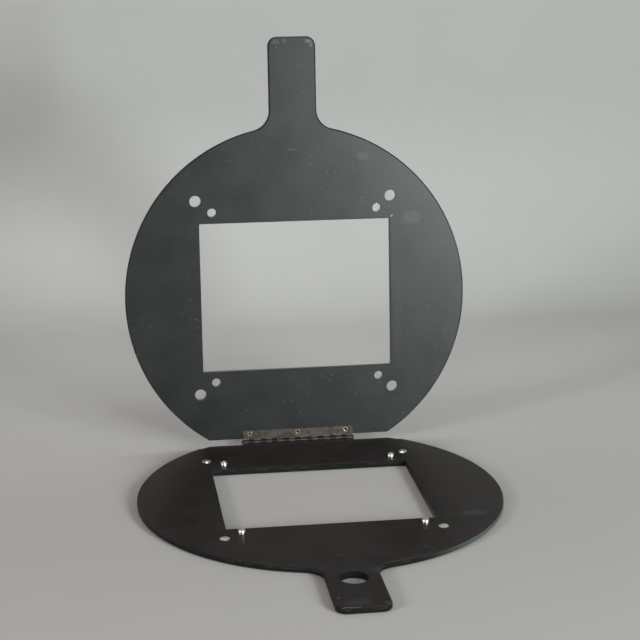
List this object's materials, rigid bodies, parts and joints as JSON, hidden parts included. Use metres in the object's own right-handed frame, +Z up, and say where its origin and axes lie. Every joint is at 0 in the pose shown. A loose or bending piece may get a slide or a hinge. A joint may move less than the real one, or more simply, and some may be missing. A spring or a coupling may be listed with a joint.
{
  "type": "negative carrier",
  "caption": "Film carrier for an enlarger: two hinged metal discs with handles and matching picture windows, standing open, with pins that keep a sheet of film in place.",
  "frame": {"origin": "middle of the open carrier's footprint, on the surface that it stands on", "axes": "+X to the right along the hinge, seen from the lower handle; +Y from the lower handle towards the hinge and the raised half; +Z up"},
  "size_m": [0.2158, 0.283, 0.2585],
  "materials": {
    "black_paint": "satin",
    "painted_steel": "satin",
    "hinge_steel": "satin",
    "rivet_steel": "satin",
    "polished_steel": "polished"
  },
  "bodies": {
    "lower": {"lower_plate": "black_paint", "hinge_lower_leaf": "painted_steel", "hinge_pin": "hinge_steel", "lower_hinge_rivet_1": "painted_steel", "lower_hinge_rivet_2": "painted_steel", "lower_hinge_rivet_3": "painted_steel", "film_pin_back_left": "polished_steel", "film_pin_back_right": "polished_steel", "film_pin_front_left": "polished_steel", "film_pin_front_right": "polished_steel", "locating_stud_back_left": "polished_steel", "locating_stud_back_right": "polished_steel", "locating_stud_front_left": "polished_steel", "locating_stud_front_right": "polished_steel"},
    "upper": {"upper_plate": "black_paint", "hinge_upper_leaf": "hinge_steel", "upper_hinge_rivet_1": "rivet_steel", "upper_hinge_rivet_2": "rivet_steel", "upper_hinge_rivet_3": "rivet_steel"}
  },
  "joints": [
    {"name": "lid_hinge", "type": "hinge", "parent": "lower", "child": "upper", "pos_m": [0, 0.11074, 0.00438], "axis": [-1, 0, 0], "range_deg": [-96, 84]}
  ]
}
